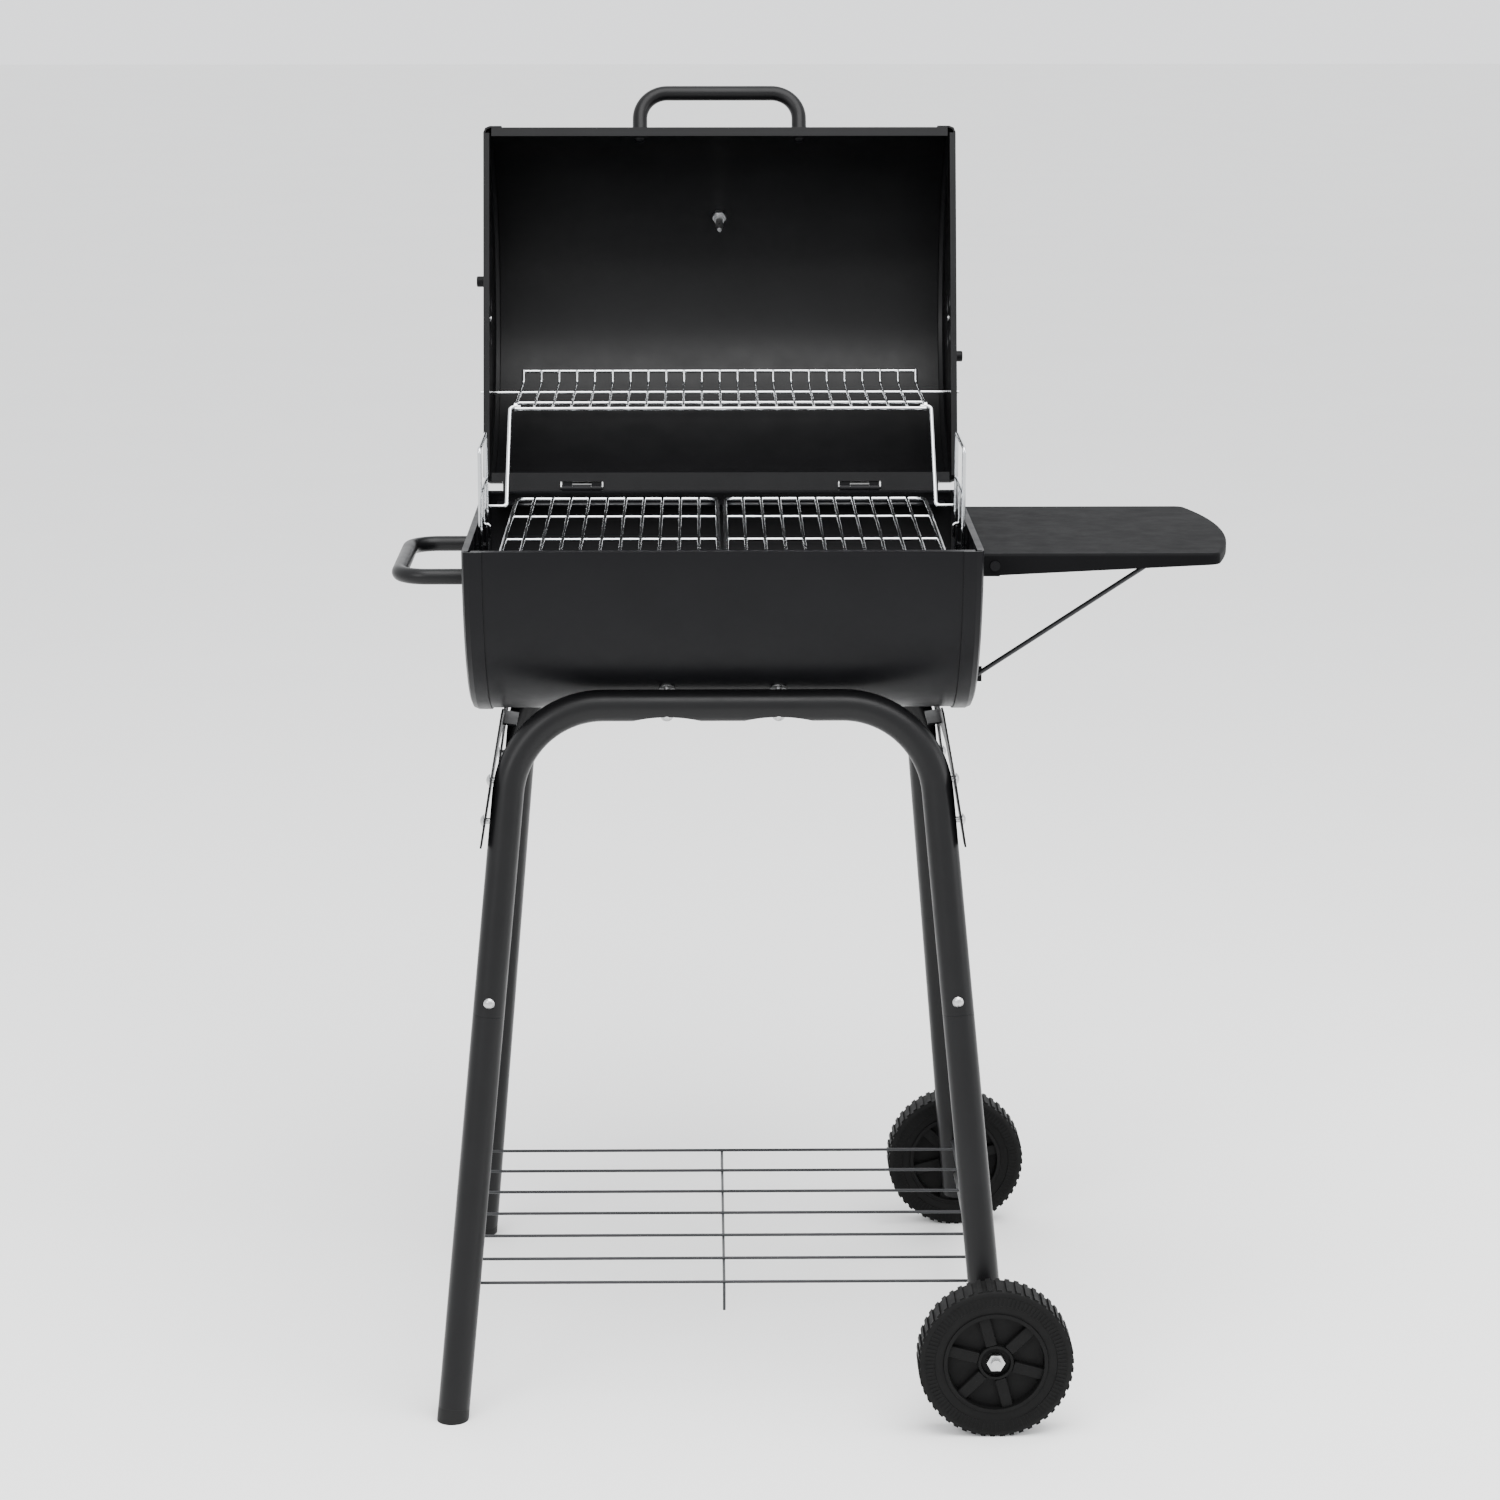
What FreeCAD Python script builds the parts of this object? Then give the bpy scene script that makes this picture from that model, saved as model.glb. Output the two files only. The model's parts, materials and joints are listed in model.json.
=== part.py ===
"""Barrel charcoal grill with its lid open, as a parametric FreeCAD document.

Every sub-part is modelled in the grill's own frame: X along the barrel, +Y towards
the lid hinges, +Z up, with the floor at Z = 0 and the barrel's middle at X = Y = 0.
Parts of the lid are drawn on the closed lid and then swung open about the hinge.
"""
import FreeCAD, Part
import Sketcher
import math
import os
import re

Vector = FreeCAD.Vector
Placement = FreeCAD.Placement
Rotation = FreeCAD.Rotation
X_AXIS = Vector(1, 0, 0)
Y_AXIS = Vector(0, 1, 0)
Z_AXIS = Vector(0, 0, 1)

doc = FreeCAD.newDocument("barrel_charcoal_grill")
sheet = doc.addObject("Spreadsheet::Sheet", "Dimensions")

# Driving dimensions in millimetres and degrees.
DIMENSIONS = {
    # place of the part's origin, under the middle of its bounding box
    "origin_shift_x": 90.5,
    "origin_shift_y": 63.75,
    # barrel: firebox below, lid above
    "barrel_length": 512.0,
    "barrel_radius": 192.4,
    "rim_height": 872.0,
    "sheet_wall": 1.5,
    "sheet_fit": 0.1,
    "cap_skirt": 20.0,
    "cap_corner": 7.0,
    "cap_return": 5.0,
    "rim_flange": 9.0,
    "lid_gap": 1.5,
    "hinge_back": 200.5,
    "lid_open_angle": 105.0,
    # leg frames
    "tube_radius": 16.0,
    "tube_wall": 1.5,
    "foot_half_width": 274.0,
    "foot_half_depth": 270.0,
    "leg_lean": 11.2,
    "leg_splay": 5.27,
    "arch_top": 719.0,
    "arch_bend": 96.0,
    "leg_joint": 407.0,
    "swage_length": 40.0,
    "foot_cap_height": 14.0,
    # wire shelf
    "shelf_height": 120.0,
    "shelf_pitch": 68.0,
    "shelf_wire": 1.6,
    "shelf_side_wire": 3.0,
    # wheels
    "wheel_radius": 77.5,
    "wheel_width": 38.0,
    "wheel_face": 324.0,
    "axle_radius": 5.0,
    "axle_x": 269.0,
    # side handle and lid handle
    "handle_tube": 8.0,
    "handle_wall": 1.2,
    "side_handle_depth": 98.0,
    "side_handle_reach": 70.0,
    "side_handle_height": 831.0,
    "lid_handle_half": 87.0,
    "lid_handle_reach": 53.0,
    "lid_handle_angle": 12.0,
    "handle_bend": 30.0,
    # side table
    "table_top": 861.5,
    "table_half_depth": 148.0,
    "table_length": 234.0,
    "table_bow": 23.0,
    "table_flange": 22.0,
    "table_flange_tip": 10.0,
    "table_sheet": 1.2,
    "brace_wire": 2.5,
    # warming rack linkage
    "rack_pivot_back": 300.0,
    "rack_level": 964.0,
    "rack_foot_back": 84.0,
    "rack_half_width": 219.0,
    "rack_wire": 2.0,
    "rack_rod": 1.3,
    # charcoal pan and its handles
    "pan_level": 775.0,
    "pan_half_length": 222.0,
    "pan_half_depth": 118.0,
    "pan_depth": 30.0,
    "pan_lift_plane": 245.0,
    # cooking grates
    "grate_level": 865.0,
    "grate_half_depth": 177.0,
    "grate_half_length": 219.0,
    # thermometer and vents on the lid
    "thermometer_angle": 50.0,
    "vent_height": 108.0,
    "vent_disc": 50.0,
}

for row, (alias, amount) in enumerate(DIMENSIONS.items(), start=1):
    sheet.set("A%d" % row, alias)
    sheet.set("B%d" % row, str(amount))
    sheet.setAlias("B%d" % row, alias)
doc.recompute()


def size(alias):
    """A driving dimension, read back from the sheet."""
    return float(sheet.get(alias))


def number(expression):
    """The value of an expression in the sheet's aliases."""
    return float(sheet.evalExpression(expression))


def bound(expression):
    """The same expression as another object has to write it."""
    for alias in DIMENSIONS:
        expression = re.sub(r"\b%s\b" % alias, "Dimensions." + alias, expression)
    return expression


# ---------------------------------------------------------------- placing sub-parts
GRILL = Placement(Vector(-size("origin_shift_x"), -size("origin_shift_y"), 0), Rotation())
HINGE_POINT = Vector(0, size("hinge_back"), size("rim_height") + size("lid_gap") / 2)
LID_SWING = Placement(Vector(), Rotation(X_AXIS, -size("lid_open_angle")), HINGE_POINT)
LID_LEVEL = size("rim_height") + size("lid_gap")

subparts = []


def place(part, label, placement, on_lid=False):
    """Name a sub-part and put it where it belongs on the grill."""
    swing = LID_SWING if on_lid else Placement()
    part.Placement = GRILL.multiply(swing).multiply(placement)
    part.Label = label
    subparts.append(part)
    return part


def at(x, y, z, axis=Z_AXIS, angle=0.0):
    """A placement at a point, turned about an axis."""
    return Placement(Vector(x, y, z), Rotation(axis, angle))


def along(start, end):
    """A placement at start whose Z axis points to end."""
    return Placement(start, Rotation(Z_AXIS, end.sub(start)))


# ------------------------------------------------------------ PartDesign helpers
def new_body(name):
    """An empty body."""
    return doc.addObject("PartDesign::Body", name)


def origin_plane(body, role):
    """One of a body's own origin planes or axes, by its role."""
    return next(item for item in body.Origin.OriginFeatures if item.Role == role)


def new_sketch(body, name, role):
    """An empty sketch on one of the body's origin planes."""
    sketch = body.newObject("Sketcher::SketchObject", name)
    sketch.AttachmentSupport = [(origin_plane(body, role), "")]
    sketch.MapMode = "FlatFace"
    return sketch


def pin_point(sketch, geometry, end, x, y):
    """Hold one end of a line or arc at a distance from the sketch's origin."""
    for kind, expression in (("DistanceX", x), ("DistanceY", y)):
        value = number(expression)
        if abs(value) < 1e-9:
            on_axis = -2 if kind == "DistanceX" else -1
            sketch.addConstraint(sketcher_constraint("PointOnObject", geometry, end, on_axis))
            continue
        index = sketch.addConstraint(sketcher_constraint(kind, -1, 1, geometry, end, value))
        sketch.setExpression("Constraints[%d]" % index, bound(expression))


def sketcher_constraint(*terms):
    """A sketcher constraint."""
    return Sketcher.Constraint(*terms)


def draw_outline(sketch, corners):
    """A closed outline of straight lines whose corners are pairs of expressions."""
    points = [Vector(number(x), number(y), 0) for x, y in corners]
    lines = []
    for index, point in enumerate(points):
        following = points[(index + 1) % len(points)]
        lines.append(sketch.addGeometry(Part.LineSegment(point, following)))
    for index, line in enumerate(lines):
        following = lines[(index + 1) % len(lines)]
        sketch.addConstraint(sketcher_constraint("Coincident", line, 2, following, 1))
        pin_point(sketch, line, 1, *corners[index])


def draw_circle(sketch, x, y, radius):
    """A circle whose centre and radius are expressions."""
    circle = sketch.addGeometry(Part.Circle(Vector(number(x), number(y), 0), Z_AXIS, number(radius)))
    index = sketch.addConstraint(sketcher_constraint("Radius", circle, number(radius)))
    sketch.setExpression("Constraints[%d]" % index, bound(radius))
    pin_point(sketch, circle, 3, x, y)


def revolve(body, sketch, angle, reversed_turn=False):
    """Turn a sketch about its horizontal axis."""
    feature = body.newObject("PartDesign::Revolution", sketch.Name + "_turned")
    feature.Profile = sketch
    feature.ReferenceAxis = (sketch, ["H_Axis"])
    feature.Angle = angle
    feature.Reversed = reversed_turn
    return feature


def pad(body, sketch, length, reversed_pad=False, midplane=False):
    """Raise a sketch by a length given as an expression."""
    feature = body.newObject("PartDesign::Pad", sketch.Name + "_raised")
    feature.Profile = sketch
    feature.Length = number(length)
    feature.setExpression("Length", bound(length))
    feature.Reversed = reversed_pad
    feature.Midplane = midplane
    return feature


def primitive(body, kind, name, placement, **expressions):
    """An additive or subtractive box, cylinder or cone with bound sizes."""
    feature = body.newObject("PartDesign::" + kind, name)
    feature.Placement = placement
    for key, expression in expressions.items():
        setattr(feature, key, number(expression))
        feature.setExpression(key, bound(expression))
    return feature


def round_edges(body, base, radius, wanted):
    """Fillet the edges of the base feature that the test accepts."""
    doc.recompute()
    names = ["Edge%d" % (index + 1) for index, edge in enumerate(base.Shape.Edges) if wanted(edge)]
    feature = body.newObject("PartDesign::Fillet", base.Name + "_rounded")
    feature.Base = (base, names)
    feature.Radius = radius
    return feature


# ------------------------------------------------------------------- Part helpers
def solid_feature(label, shape, placement=None, on_lid=False):
    """A sub-part whose shape is set directly."""
    part = doc.addObject("Part::Feature", label)
    part.Shape = shape
    return place(part, label, placement or Placement(), on_lid)


def rod(start, end, radius):
    """A round bar between two points."""
    line = end.sub(start)
    return Part.makeCylinder(radius, line.Length, start, line)


def bent_wire(points, radius, bend):
    """A round wire through points, with a tangent arc of one radius at each corner."""
    edges = []
    start = points[0]
    for index in range(1, len(points) - 1):
        corner = points[index]
        back = points[index - 1].sub(corner).normalize()
        ahead = points[index + 1].sub(corner).normalize()
        half_angle = back.getAngle(ahead) / 2
        reach = bend / math.tan(half_angle)
        first = corner + back * reach
        last = corner + ahead * reach
        centre = corner + (back + ahead).normalize() * (bend / math.sin(half_angle))
        middle = centre + (corner.sub(centre)).normalize() * bend
        edges.append(Part.LineSegment(start, first).toShape())
        edges.append(Part.Arc(first, middle, last).toShape())
        start = last
    edges.append(Part.LineSegment(start, points[-1]).toShape())
    path = Part.Wire(edges)
    direction = points[1].sub(points[0])
    section = Part.Wire([Part.Circle(points[0], direction, radius).toShape()])
    return path.makePipeShell([section], True, False)


def joined(shapes):
    """One solid from shapes that overlap."""
    result = shapes[0].multiFuse(shapes[1:])
    return result.removeSplitter()


def group(shapes):
    """Separate solids kept in one shape."""
    return Part.makeCompound(shapes)


def prism(corners, thickness):
    """A flat polygon in the XY plane raised along Z."""
    points = [Vector(x, y, 0) for x, y in corners]
    face = Part.Face(Part.makePolygon(points + points[:1]))
    return face.extrude(Vector(0, 0, thickness))


def hexagon(across_flats, thickness):
    """A hexagonal nut or bolt head on the XY plane."""
    corner = across_flats / math.sqrt(3)
    turns = [math.radians(60 * step) for step in range(6)]
    return prism([(corner * math.cos(turn), corner * math.sin(turn)) for turn in turns], thickness)


def dome_bolt(shank_radius, shank_length, head_radius, head_height):
    """A dome-headed bolt: the shank hangs below Z = 0, the head stands above it."""
    sphere_radius = (head_radius ** 2 + head_height ** 2) / (2 * head_height)
    ball = Part.makeSphere(sphere_radius, Vector(0, 0, head_height - sphere_radius))
    block = Part.makeCylinder(head_radius, head_height)
    shank = Part.makeCylinder(shank_radius, shank_length, Vector(0, 0, -shank_length))
    return ball.common(block).fuse(shank).removeSplitter()


def moved(shape, placement):
    """A copy of a shape at a placement."""
    copy = shape.copy()
    copy.Placement = placement.multiply(copy.Placement)
    return copy


# ------------------------------------------------------------------ barrel halves
def half_shell(name, upward):
    """Half a rolled barrel sheet with a flange turned in along its rims."""
    body = new_body(name)
    section = new_sketch(body, name + "_section", "XY_Plane")
    left = "sheet_wall + cap_corner + 0.3"
    right = "barrel_length - sheet_wall - cap_corner - 0.3"
    inner = "barrel_radius - sheet_wall"
    draw_outline(section, [(left, inner), (right, inner), (right, "barrel_radius"), (left, "barrel_radius")])
    turn = revolve(body, section, 180, reversed_turn=not upward)
    doc.recompute()
    if (turn.Shape.BoundBox.ZMax > 1) != upward:
        turn.Reversed = not turn.Reversed
    height = 0 if upward else -size("sheet_wall")
    for side in (-1, 1):
        depth = size("barrel_radius") - (0.5 if side > 0 else 0) - (size("rim_flange") if side > 0 else 0)
        start = Vector(number(left), side * depth if side > 0 else -size("barrel_radius") + 0.5, height)
        primitive(body, "AdditiveBox", name + ("_rear_flange" if side > 0 else "_front_flange"),
                  Placement(start, Rotation()),
                  Length="barrel_length - 2 * sheet_wall - 2 * cap_corner - 0.6",
                  Width="rim_flange", Height="sheet_wall")
    return body


def end_cap(name, upward):
    """A pressed half disc whose skirt wraps over the barrel sheet."""
    body = new_body(name)
    section = new_sketch(body, name + "_section", "XY_Plane")
    inner = "barrel_radius + sheet_fit"
    outer = "barrel_radius + sheet_fit + sheet_wall"
    draw_outline(section, [
        ("0", "0"),
        ("sheet_wall", "0"),
        ("sheet_wall", inner + " - cap_corner"),
        ("sheet_wall + 0.3 * cap_corner", inner + " - 0.3 * cap_corner"),
        ("sheet_wall + cap_corner", inner),
        ("cap_skirt", inner),
        ("cap_skirt", outer),
        ("cap_corner", outer),
        ("0.3 * cap_corner", outer + " - 0.3 * cap_corner"),
        ("0", outer + " - cap_corner"),
    ])
    turn = revolve(body, section, 180)
    doc.recompute()
    if (turn.Shape.BoundBox.ZMax > 1) != upward:
        turn.Reversed = not turn.Reversed
    height = 0 if upward else -size("sheet_wall")
    primitive(body, "AdditiveBox", name + "_return",
              Placement(Vector(size("sheet_wall") / 2, 6 - size("barrel_radius"), height), Rotation()),
              Length="cap_return + sheet_wall / 2", Width="2 * barrel_radius - 12", Height="sheet_wall")
    return body


def drill_face(body, name, y, z, radius):
    """A round hole through an end cap's flat face."""
    primitive(body, "SubtractiveCylinder", name, at(-1, y, z, Y_AXIS, 90),
              Radius=radius, Height="sheet_wall + 2")


half_length = size("barrel_length") / 2
fire_shell = half_shell("firebox_sheet", upward=False)
place(fire_shell, "firebox_shell", at(-half_length, 0, size("rim_height")))
lid_shell = half_shell("lid_sheet", upward=True)
HEM_START = 1.0
HEM_END = 203.5
HEM_NOTCH = 46.0
hem_inner = size("barrel_radius") - HEM_START
primitive(lid_shell, "AdditiveBox", "lid_rear_hem", at(size("cap_skirt") + 1, hem_inner, 0),
          Length="barrel_length - 2 * cap_skirt - 2", Width="%f" % (HEM_END - hem_inner), Height="sheet_wall")
for side in (-1, 1):
    notch_x = half_length + side * 150.0 - HEM_NOTCH / 2
    primitive(lid_shell, "SubtractiveBox", "hem_notch_%d" % (side + 2),
              at(notch_x, size("barrel_radius") + 0.02, -1),
              Length="%f" % HEM_NOTCH, Width="20", Height="sheet_wall + 2")
place(lid_shell, "lid_shell", at(-half_length, 0, LID_LEVEL), on_lid=True)

handle_drop = size("side_handle_height") - size("rim_height")
TABLE_HINGE_Y = 90.0
TABLE_HINGE_DROP = -22.0
BRACE_DROP = -164.0
RACK_FOOT = Vector(0, size("rack_foot_back"), size("rim_height") + size("lid_gap") / 2)
RACK_PIVOT = Vector(0, size("rack_pivot_back"), size("rack_level"))
RACK_CORNER = RACK_FOOT + RACK_PIVOT.sub(HINGE_POINT)
closed_pivot = LID_SWING.inverse().multVec(RACK_PIVOT)
VENT_PETAL_RING = 27.0

for side, word in ((-1, "left"), (1, "right")):
    cap = end_cap("firebox_cap_" + word, upward=False)
    turn = 0 if side < 0 else 180
    if side < 0:
        for hand in (-1, 1):
            drill_face(cap, "handle_hole_%d" % (hand + 2), hand * size("side_handle_depth"), handle_drop, "3.1")
    place(cap, "firebox_end_" + word, at(side * half_length, 0, size("rim_height"), Z_AXIS, turn))

    cap = end_cap("lid_cap_" + word, upward=True)
    flip = -side
    drill_face(cap, "rack_hole_" + word, flip * closed_pivot.y, closed_pivot.z - LID_LEVEL, "rack_wire + 0.4")
    drill_face(cap, "vent_pin_hole_" + word, 0, size("vent_height"), "2.6")
    for step in range(4):
        angle = math.radians(45 + 90 * step)
        drill_face(cap, "vent_petal_%s_%d" % (word, step), VENT_PETAL_RING * math.cos(angle),
                   size("vent_height") + VENT_PETAL_RING * math.sin(angle), "11")
    place(cap, "lid_end_" + word, at(side * half_length, 0, LID_LEVEL, Z_AXIS, turn), on_lid=True)


# --------------------------------------------------------------------- leg frames
lean = math.radians(size("leg_lean"))
splay = math.radians(size("leg_splay"))


def leg_point(side, hand, slope_length):
    """The axis of a leg at a length measured up its slope: side is X, hand is Y."""
    return Vector(side * (size("foot_half_width") - slope_length * math.tan(splay)),
                  hand * (size("foot_half_depth") - slope_length * math.sin(lean)),
                  slope_length * math.cos(lean))


def leg_frame(hand):
    """The leaning plane of the front (-1) or rear (1) legs, X across and Z up the slope."""
    return Placement(Vector(0, hand * size("foot_half_depth"), 0), Rotation(X_AXIS, hand * size("leg_lean")))


def arch_solid(radius, wall_offset, joint):
    """The bent tube of one leg frame, as a solid bar, with its bolt dimples pressed in."""
    half_foot = size("foot_half_width")
    top = size("arch_top")
    slope = math.tan(splay)
    points = [Vector(side * (half_foot - height * slope), 0, height)
              for side, height in ((-1, joint), (-1, top), (1, top), (1, joint))]
    bar = bent_wire(points, radius, size("arch_bend"))
    dimple_radius = 150.0
    dimple_depth = 4.0
    for side in (-1, 1):
        centre = Vector(side * 56.0, -40, top - size("tube_radius") - dimple_radius + dimple_depth)
        bar = bar.cut(Part.makeCylinder(dimple_radius + wall_offset, 80, centre, Y_AXIS))
    return bar


joint_height = size("leg_joint")
tube_radius = size("tube_radius")
tube_wall = size("tube_wall")
for hand, word in ((-1, "front"), (1, "rear")):
    outside = arch_solid(tube_radius, 0, joint_height)
    inside = arch_solid(tube_radius - tube_wall, tube_wall, joint_height - 5)
    arch = outside.cut(inside)
    solid_feature(word + "_leg_arch", arch, leg_frame(hand))

for hand, depth_word in ((-1, "front"), (1, "rear")):
    for side, side_word in ((-1, "left"), (1, "right")):
        name = "%s_%s_leg" % (depth_word, side_word)
        foot_slope = 12.0 if side < 0 else 52.0
        foot = leg_point(side, hand, foot_slope)
        top = leg_point(side, hand, joint_height)
        leg_length = top.sub(foot).Length
        body = new_body(name + "_tube")
        primitive(body, "AdditiveCylinder", name + "_outside", Placement(),
                  Radius="tube_radius", Height="%f" % (leg_length - 0.2))
        primitive(body, "AdditiveCylinder", name + "_swage", Placement(),
                  Radius="tube_radius - tube_wall - 0.25", Height="%f + swage_length" % leg_length)
        primitive(body, "SubtractiveCylinder", name + "_bore", at(0, 0, -1),
                  Radius="tube_radius - 2 * tube_wall - 0.25", Height="%f + swage_length + 2" % leg_length)
        inward = Placement(Vector(), along(foot, top).Rotation)
        hole_height = (size("shelf_height") - foot.z) / math.cos(lean)
        shelf_hole = Placement(Vector(0, 0, hole_height),
                               inward.Rotation.inverted().multiply(Rotation(Z_AXIS, Vector(0, -hand, 0))))
        primitive(body, "SubtractiveCylinder", name + "_shelf_hole", shelf_hole,
                  Radius="shelf_side_wire + 0.1", Height="tube_radius + 4")
        if side > 0:
            axle_height = (size("wheel_radius") - foot.z) / math.cos(lean)
            axle_hole = Placement(Vector(0, 0, axle_height),
                                  inward.Rotation.inverted().multiply(Rotation(Z_AXIS, Y_AXIS)))
            leg_place = along(foot, top)
            axle_spot = leg_place.multVec(axle_hole.Base)
            axle_spot.x = size("axle_x")
            axle_hole.Base = leg_place.inverse().multVec(axle_spot) - axle_hole.Rotation.multVec(Vector(0, 0, 40))
            primitive(body, "SubtractiveCylinder", name + "_axle_hole", axle_hole,
                      Radius="axle_radius + 0.2", Height="80")
        place(body, name, along(foot, top))

for hand, depth_word in ((-1, "front"), (1, "rear")):
    foot = leg_point(-1, hand, 12.0)
    top = leg_point(-1, hand, joint_height)
    upward = top.sub(foot).normalize()
    plug = rod(foot - upward * 30, foot + upward * 16, tube_radius - 2 * tube_wall - 0.3)
    sole = rod(foot - upward * 30, foot - upward * 0.05, tube_radius)
    floor_box = Part.makeBox(100, 100, 40, Vector(foot.x - 50, foot.y - 50, 0))
    cap = plug.fuse(sole).common(floor_box).removeSplitter()
    solid_feature(depth_word + "_left_foot", cap)


# ------------------------------------------------- side plates, shelf and leg bolts
def plate_x(height):
    """Distance from the middle to the inner face of a side plate at a height."""
    return 231.5 - 0.16 * (height - 632)


def side_plate():
    """The left side plate, drawn flat in its own plane: X is depth, Y is height above 560."""
    base = 560.0
    top = 694.0 - base
    shape = prism([(-172, 8), (-150, 8), (-128, 52), (-60, 92), (60, 92), (128, 52), (150, 8), (172, 8),
                   (164, 70), (112, top), (-112, top), (-164, 70)], 2.0)
    barrel = Part.makeCylinder(size("barrel_radius") + 5, 40, Vector(0, size("rim_height") - base, -20))
    tab = Part.makeBox(60, 2, 16, Vector(-30, 105, -14))
    shape = shape.cut(barrel).fuse(tab)
    for hand in (-1, 1):
        for height in (592.0, 632.0):
            leg = leg_point(-1, hand, height / math.cos(lean))
            shape = shape.cut(Part.makeCylinder(3.1, 10, Vector(hand * abs(leg.y), height - base, -4)))
    return shape.removeSplitter(), base


plate, plate_base = side_plate()
tilt = math.degrees(math.atan(0.16))
for side, word in ((-1, "left"), (1, "right")):
    stand = Placement(Vector(side * plate_x(plate_base), 0, plate_base),
                      Rotation(Y_AXIS, -side * tilt).multiply(
                          Rotation(Vector(0, side, 0), Z_AXIS, Vector(side, 0, 0), "ZXY")))
    solid_feature("side_plate_" + word, plate, stand)

plate_bolts = []
for side in (-1, 1):
    for hand in (-1, 1):
        for height in (592.0, 632.0):
            leg = leg_point(side, hand, height / math.cos(lean))
            outward = Rotation(Y_AXIS, side * 90)
            face = plate_x(height) + 2.4
            gap = face - abs(leg.x) - tube_radius
            bolt = dome_bolt(3.0, gap + 20, 6.5, 3.6)
            place_bolt = Placement(Vector(side * face, leg.y, height), outward)
            plate_bolts.append(moved(bolt, place_bolt))
solid_feature("plate_bolts", group(plate_bolts))

arch_bolts = []
for hand in (-1, 1):
    centre = leg_frame(hand).multVec(Vector(0, 0, size("arch_top")))
    radial = Vector(0, centre.y, centre.z - size("rim_height")).normalize()
    for side in (-1, 1):
        head = centre + radial * (tube_radius - 2.0) + Vector(side * 56, 0, 0)
        bolt = dome_bolt(3.0, 44, 6.0, 3.2)
        washer = Part.makeCylinder(8.0, 1.6, Vector(0, 0, -2 * tube_radius + 0.2 - 1.4))
        nut = moved(hexagon(10, 5), at(0, 0, -44))
        arch_bolts.append(moved(bolt.fuse(washer).fuse(nut).removeSplitter(),
                                Placement(head, Rotation(Z_AXIS, radial))))
solid_feature("arch_bolts", group(arch_bolts))

joint_bolts = []
for side in (-1, 1):
    for hand in (-1, 1):
        centre = leg_point(side, hand, joint_height + 17)
        bolt = dome_bolt(3.0, 30, 5.5, 3.0)
        joint_bolts.append(moved(bolt, Placement(centre + Vector(0, hand * (tube_radius + 0.4), 0),
                                                 Rotation(Z_AXIS, Vector(0, hand, 0)))))
solid_feature("leg_joint_bolts", group(joint_bolts))

shelf_height = size("shelf_height")
shelf_leg = leg_point(1, 1, shelf_height / math.cos(lean))
side_reach = shelf_leg.y - 8
shelf = []
for side in (-1, 1):
    shelf.append(rod(Vector(side * shelf_leg.x, -side_reach, shelf_height),
                     Vector(side * shelf_leg.x, side_reach, shelf_height), size("shelf_side_wire")))
for index in range(7):
    depth = (index - 3) * size("shelf_pitch")
    shelf.append(rod(Vector(-shelf_leg.x, depth, shelf_height), Vector(shelf_leg.x, depth, shelf_height),
                     size("shelf_wire")))
under = shelf_height - size("shelf_wire") - 1.2
reach = 3 * size("shelf_pitch") + 14
shelf.append(bent_wire([Vector(0, -reach, under - 22), Vector(0, -reach, under), Vector(0, reach, under),
                        Vector(0, reach, under - 22)], 1.5, 8))
solid_feature("wire_shelf", joined(shelf))

# -------------------------------------------------------------------------- wheels
axle_x = size("axle_x")
wheel_z = size("wheel_radius")
wheel_face = size("wheel_face")
axle_end = wheel_face + 2
axle = rod(Vector(axle_x, -axle_end, wheel_z), Vector(axle_x, axle_end, wheel_z), size("axle_radius"))
solid_feature("wheel_axle", axle)
nuts = []
for hand in (-1, 1):
    inner_face = wheel_face - 12.7
    for start, thickness, flats in ((inner_face, 1.6, 22), (inner_face + 1.6, 8.0, 16)):
        blank = hexagon(flats, thickness) if flats == 16 else Part.makeCylinder(flats / 2, thickness)
        blank = blank.cut(Part.makeCylinder(size("axle_radius"), thickness + 2, Vector(0, 0, -1)))
        nuts.append(moved(blank, Placement(Vector(axle_x, hand * start, wheel_z),
                                           Rotation(Z_AXIS, Vector(0, hand, 0)))))
    collar = Part.makeCylinder(9, 3.0).cut(Part.makeCylinder(size("axle_radius"), 5, Vector(0, 0, -1)))
    nuts.append(moved(collar, Placement(Vector(axle_x, hand * (wheel_face - size("wheel_width") - 5), wheel_z),
                                        Rotation(Z_AXIS, Vector(0, hand, 0)))))
solid_feature("axle_nuts", group(nuts))


def wheel_body(name):
    """A moulded wheel on its own Z axis: tread, web, hub and six spokes."""
    body = new_body(name)
    section = new_sketch(body, name + "_section", "XZ_Plane")
    draw_outline(section, [
        ("0", "axle_radius + 0.08"),
        ("0", "17"),
        ("13", "19"),
        ("13", "47"),
        ("0", "49"),
        ("0", "wheel_radius - 4"),
        ("5", "wheel_radius"),
        ("wheel_width - 5", "wheel_radius"),
        ("wheel_width", "wheel_radius - 4"),
        ("wheel_width", "49"),
        ("19", "47"),
        ("19", "19"),
        ("wheel_width - 13", "17"),
        ("wheel_width - 13", "axle_radius + 0.08"),
    ])
    revolve(body, section, 360)
    for step in range(6):
        spoke = Placement(Vector(0, 0, 0), Rotation(X_AXIS, 60 * step + 15))
        spoke.Base = spoke.Rotation.multVec(Vector(4, -5.5, 16))
        primitive(body, "AdditiveBox", "%s_spoke_%d" % (name, step), spoke,
                  Length="wheel_width - 8", Width="11", Height="33")
    primitive(body, "SubtractiveCylinder", name + "_nut_recess", at(wheel_width - 13, 0, 0, Y_AXIS, 90),
              Radius="14", Height="14")
    return body


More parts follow.
